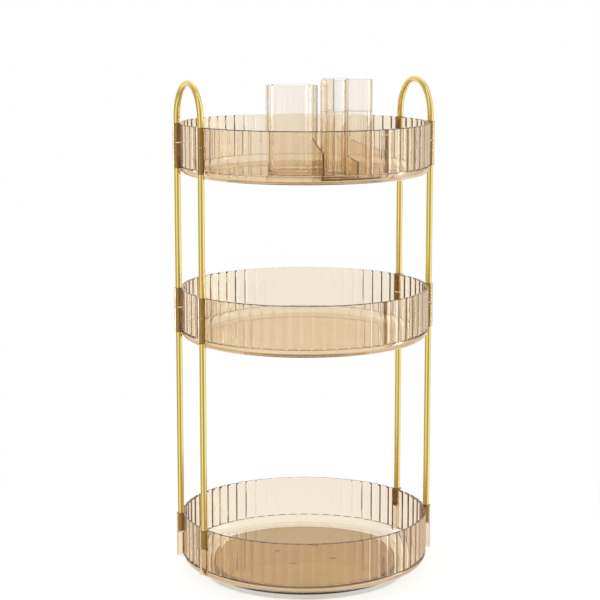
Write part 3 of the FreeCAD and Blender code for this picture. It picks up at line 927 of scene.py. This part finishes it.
def divider():
    """A sector plate on the tray's floor, carrying three radial fins."""
    outer_radius = FIN_REACH - INNER_CORNER - FIN_FOOT_EASE
    lowest, highest = INSERT_TURN - FIN_ANGLE, INSERT_TURN + FIN_ANGLE
    steps = 40
    angles = [lowest + (highest - lowest) * i / steps for i in range(steps + 1)]

    def outline(z):
        outer = [polar(outer_radius, angle, z) for angle in angles]
        return outer + [polar(INSERT_INNER, angle, z) for angle in reversed(angles)]

    bm = slab(outline(TOP_FLOOR + INSERT_PLATE), outline(TOP_FLOOR + FILM))
    plate = to_object(bm, "divider_insert_clear")
    fins = [fin(INSERT_INNER, lowest, **SIDE_FIN), fin(INSERT_INNER, highest, **SIDE_FIN),
            fin(MIDDLE_FIN_INNER, INSERT_TURN, **MIDDLE_FIN)]
    return smoothed(combined(plate, fins, "UNION"), degrees=15)


# ------------------------------------------------------------------ cups
# Small rounded edges, as a width and as the setback of the point half way round.
CUP_RIM = 0.35
CUP_RIM_MIDDLE = 0.1
TREFOIL_FOOT = 0.6
TREFOIL_FOOT_MIDDLE = 0.18
BRUSH_CUP_FOOT = 0.8
BRUSH_CUP_FOOT_MIDDLE = 0.23

TREFOIL_HEIGHT = 85.4
TREFOIL_FLOOR = 2.0
TREFOIL_STEP = TREFOIL_HEIGHT - 27.4    # the wall is thicker below this
TREFOIL_UPPER_WALL = 1.4
TREFOIL_LOWER_WALL = 2.2
TREFOIL_RINGS = (20, 40)                # extra rings of points on the wall
LOBE_STEPS = 18
HOLLOW_STEPS = 8

BRUSH_CUP_RADIUS = 23.75                # over the crests of the flutes
BRUSH_CUP_HEIGHT = 79.0
BRUSH_CUP_FLOOR = 2.5
BRUSH_CUP_INNER = BRUSH_CUP_RADIUS - 2.0
BRUSH_CUP_FLUTES = 18
BRUSH_CUP_FLUTE_DEPTH = 0.6
BRUSH_CUP_FLUTE_COLUMNS = 14
BRUSH_CUP_RINGS = (25, 50)


def trefoil_ring(inset, z):
    """Three round lobes and the hollows between them, moved in by inset."""
    lobe, hollow = LOBE - inset, HOLLOW + inset
    points = []
    for index in range(3):
        out = math.pi + index * 2 * math.pi / 3
        centre = polar(LOBE_DISTANCE, out)
        web = polar(HOLLOW_DISTANCE, out + math.pi / 3)
        following = polar(LOBE_DISTANCE, out + 2 * math.pi / 3)
        towards, back = web - centre, following - web
        half = abs(wrapped(math.atan2(towards.y, towards.x) - out))
        for i in range(-LOBE_STEPS, LOBE_STEPS + 1):
            points.append(centre + polar(lobe, out + half * i / LOBE_STEPS))
        start = math.atan2(-towards.y, -towards.x)
        sweep = wrapped(math.atan2(back.y, back.x) - start)
        for i in range(1, HOLLOW_STEPS):
            points.append(web + polar(hollow, start + sweep * i / HOLLOW_STEPS))
    return [Vector((point.x, point.y, z)) for point in points]


def trefoil():
    """The three-lobed cup that stands on the insert's plate, with a step inside."""
    height, upper, lower = TREFOIL_HEIGHT, TREFOIL_UPPER_WALL, TREFOIL_LOWER_WALL
    step_edge = 0.3
    inner_foot, inner_foot_middle = 1.0, 0.3
    rows = [(TREFOIL_FOOT, FILM), (TREFOIL_FOOT_MIDDLE, TREFOIL_FOOT_MIDDLE), (0, TREFOIL_FOOT)]
    rows += [(0, z) for z in (*TREFOIL_RINGS, TREFOIL_STEP, height - CUP_RIM)]
    rows += [(CUP_RIM_MIDDLE, height - CUP_RIM_MIDDLE), (CUP_RIM, height), (upper - CUP_RIM, height),
             (upper - CUP_RIM_MIDDLE, height - CUP_RIM_MIDDLE), (upper, height - CUP_RIM)]
    rows += [(upper, TREFOIL_STEP + step_edge), (upper + step_edge, TREFOIL_STEP), (lower, TREFOIL_STEP)]
    rows += [(lower, z) for z in (*reversed(TREFOIL_RINGS), TREFOIL_FLOOR + inner_foot)]
    rows += [(lower + inner_foot_middle, TREFOIL_FLOOR + inner_foot_middle),
             (lower + inner_foot, TREFOIL_FLOOR)]
    rings = [[Vector((0, 0, FILM))]] + [trefoil_ring(inset, z) for inset, z in rows]
    rings += [[Vector((0, 0, TREFOIL_FLOOR))]]
    bm = skin(rings)
    bmesh.ops.translate(bm, vec=(TREFOIL_AT, 0, TOP_FLOOR + INSERT_PLATE), verts=bm.verts)
    return smoothed(turned_by(to_object(bm, "trefoil_cup_clear"), INSERT_TURN))


def brush_holder():
    """The round fluted cup that stands on the tray's floor behind the insert."""
    height, inner = BRUSH_CUP_HEIGHT, BRUSH_CUP_INNER
    rim_edge, inner_foot = 0.4, 1.2
    under_ring, floor_ring = 14, 12

    def fluted(inset=0.0):
        return flute(BRUSH_CUP_RADIUS, BRUSH_CUP_FLUTE_DEPTH, BRUSH_CUP_FLUTES, inset)

    rows = [(0, FILM), (under_ring, FILM), (fluted(BRUSH_CUP_FOOT), FILM),
            (fluted(BRUSH_CUP_FOOT_MIDDLE), BRUSH_CUP_FOOT_MIDDLE)]
    rows += [(fluted(), z) for z in (BRUSH_CUP_FOOT, *BRUSH_CUP_RINGS, height - CUP_RIM)]
    rows += [(fluted(CUP_RIM_MIDDLE), height - CUP_RIM_MIDDLE), (fluted(CUP_RIM), height)]
    rows += arc_rows(inner + rim_edge, height - rim_edge, rim_edge, 90, 180, 4)
    rows += [(inner, z) for z in reversed(BRUSH_CUP_RINGS)]
    rows += arc_rows(inner - inner_foot, BRUSH_CUP_FLOOR + inner_foot, inner_foot, 0, -90, 4)
    rows += [(floor_ring, BRUSH_CUP_FLOOR), (0, BRUSH_CUP_FLOOR)]
    made = to_object(turned(rows, BRUSH_CUP_FLUTES * BRUSH_CUP_FLUTE_COLUMNS), "brush_cup_clear")
    turned_by(made, INSERT_TURN)
    lowest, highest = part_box("brush_cup")
    middle = (lowest + highest) / 2
    made.data.transform(Matrix.Translation((middle.x, middle.y, lowest.z)))
    return smoothed(made, degrees=25)


dressed(divider(), "divider_insert", TRAY)
dressed(trefoil(), "trefoil_cup", CUP)
dressed(brush_holder(), "brush_cup", CUP)
